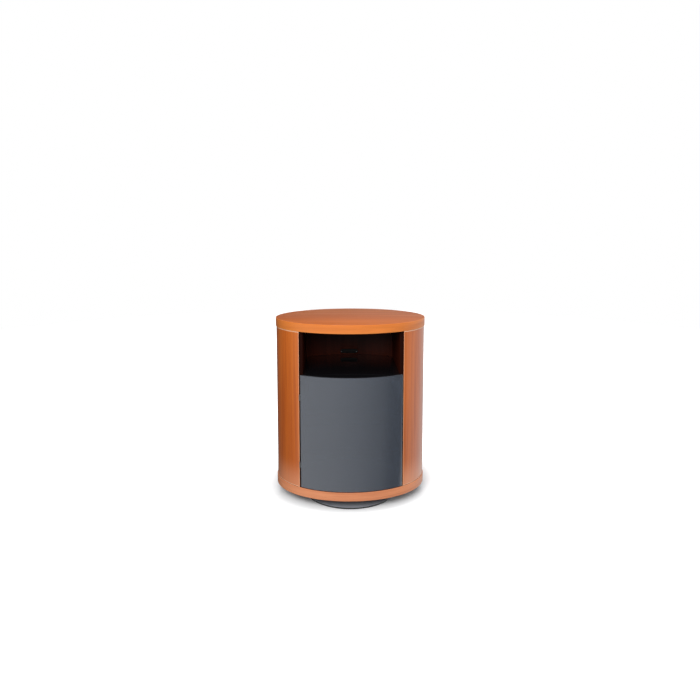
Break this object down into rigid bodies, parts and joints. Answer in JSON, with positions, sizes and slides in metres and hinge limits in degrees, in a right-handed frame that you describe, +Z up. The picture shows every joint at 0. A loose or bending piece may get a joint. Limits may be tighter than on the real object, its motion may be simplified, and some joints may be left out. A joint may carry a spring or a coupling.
{
  "type": "revolving television cabinet",
  "caption": "Drum-shaped wooden television cabinet that revolves on a round base, with an open bay over a curved smoked-glass door and shelves.",
  "frame": {"origin": "on the floor, at the centre of the plan, under the swivel axis", "axes": "+Z up along the swivel axis, front with the glass door towards -Y, +X to the viewer's right"},
  "size_m": [0.711, 0.508, 0.86],
  "materials": {
    "cherry_veneer": "satin lacquered cherry veneer, warm reddish orange, grain lengthways on the rims and upright on the sides",
    "dark_cherry": "dark red-brown stained veneer, satin",
    "plywood": "bare birch plywood",
    "black_lacquer": "high gloss black lacquer",
    "smoked_glass": "smoked grey tempered glass, polished edges",
    "base_paint": "satin graphite grey paint",
    "steel": "zinc plated steel",
    "nickel": "satin nickel plate",
    "black_plastic": "matt black moulded plastic",
    "rubber": "matt black rubber"
  },
  "bodies": {
    "base": {"foot_pad_1": "rubber", "foot_pad_2": "rubber", "foot_pad_3": "rubber", "foot_pad_4": "rubber", "foot_pad_5": "rubber", "base_plate": "steel", "base_cover": "base_paint", "base_hub": "plywood", "bearing_lower_plate": "steel", "bearing_ball_cage": "steel", "pivot_washer": "steel", "pivot_bolt": "steel"},
    "cabinet": {"bearing_upper_plate": "steel", "pivot_bush": "black_plastic", "pivot_cover": "black_plastic", "bottom_disc": "cherry_veneer", "bottom_rim_band": "cherry_veneer", "top_disc": "cherry_veneer", "top_rim_band": "cherry_veneer", "left_side_panel": "cherry_veneer", "right_side_panel": "cherry_veneer", "left_former": "plywood", "right_former": "plywood", "left_inner_wall": "dark_cherry", "right_inner_wall": "dark_cherry", "back_panel": "cherry_veneer", "cable_grommet_1": "rubber", "cable_grommet_2": "rubber", "back_screw_1": "nickel", "back_screw_2": "nickel", "back_screw_3": "nickel", "back_screw_4": "nickel", "speaker_shelf": "black_lacquer", "loose_shelf_1": "dark_cherry", "loose_shelf_2": "dark_cherry", "shelf_pin_1": "steel", "shelf_pin_2": "steel", "shelf_pin_3": "steel", "shelf_pin_4": "steel", "shelf_pin_5": "steel", "shelf_pin_6": "steel", "shelf_pin_7": "steel", "shelf_pin_8": "steel", "lower_hinge_cabinet_leaf": "nickel", "upper_hinge_cabinet_leaf": "nickel", "lower_hinge_pin": "nickel", "upper_hinge_pin": "nickel", "hinge_screw_1": "nickel", "hinge_screw_2": "nickel", "hinge_screw_3": "nickel", "hinge_screw_4": "nickel", "latch_body": "black_plastic", "door_bumper_1": "rubber", "door_bumper_2": "rubber"},
    "door": {"door_glass": "smoked_glass", "lower_hinge_door_leaf": "nickel", "upper_hinge_door_leaf": "nickel", "latch_strike": "nickel"},
    "latch_plunger": {"latch_plunger": "black_plastic"}
  },
  "joints": [
    {"name": "cabinet_swivel", "type": "hinge", "parent": "base", "child": "cabinet", "pos_m": [0, 0, 0.05], "axis": [0, 0, 1], "continuous": true},
    {"name": "door_hinge", "type": "hinge", "parent": "cabinet", "child": "door", "pos_m": [-0.2353, -0.1866, 0.36], "axis": [0, 0, -1], "range_deg": [0, 105]},
    {"name": "latch_press", "type": "slide", "parent": "cabinet", "child": "latch_plunger", "axis": [0, 1, 0], "range_m": [0, 0.003], "stiffness_N_per_m": 200, "springref_m": -0.004}
  ]
}
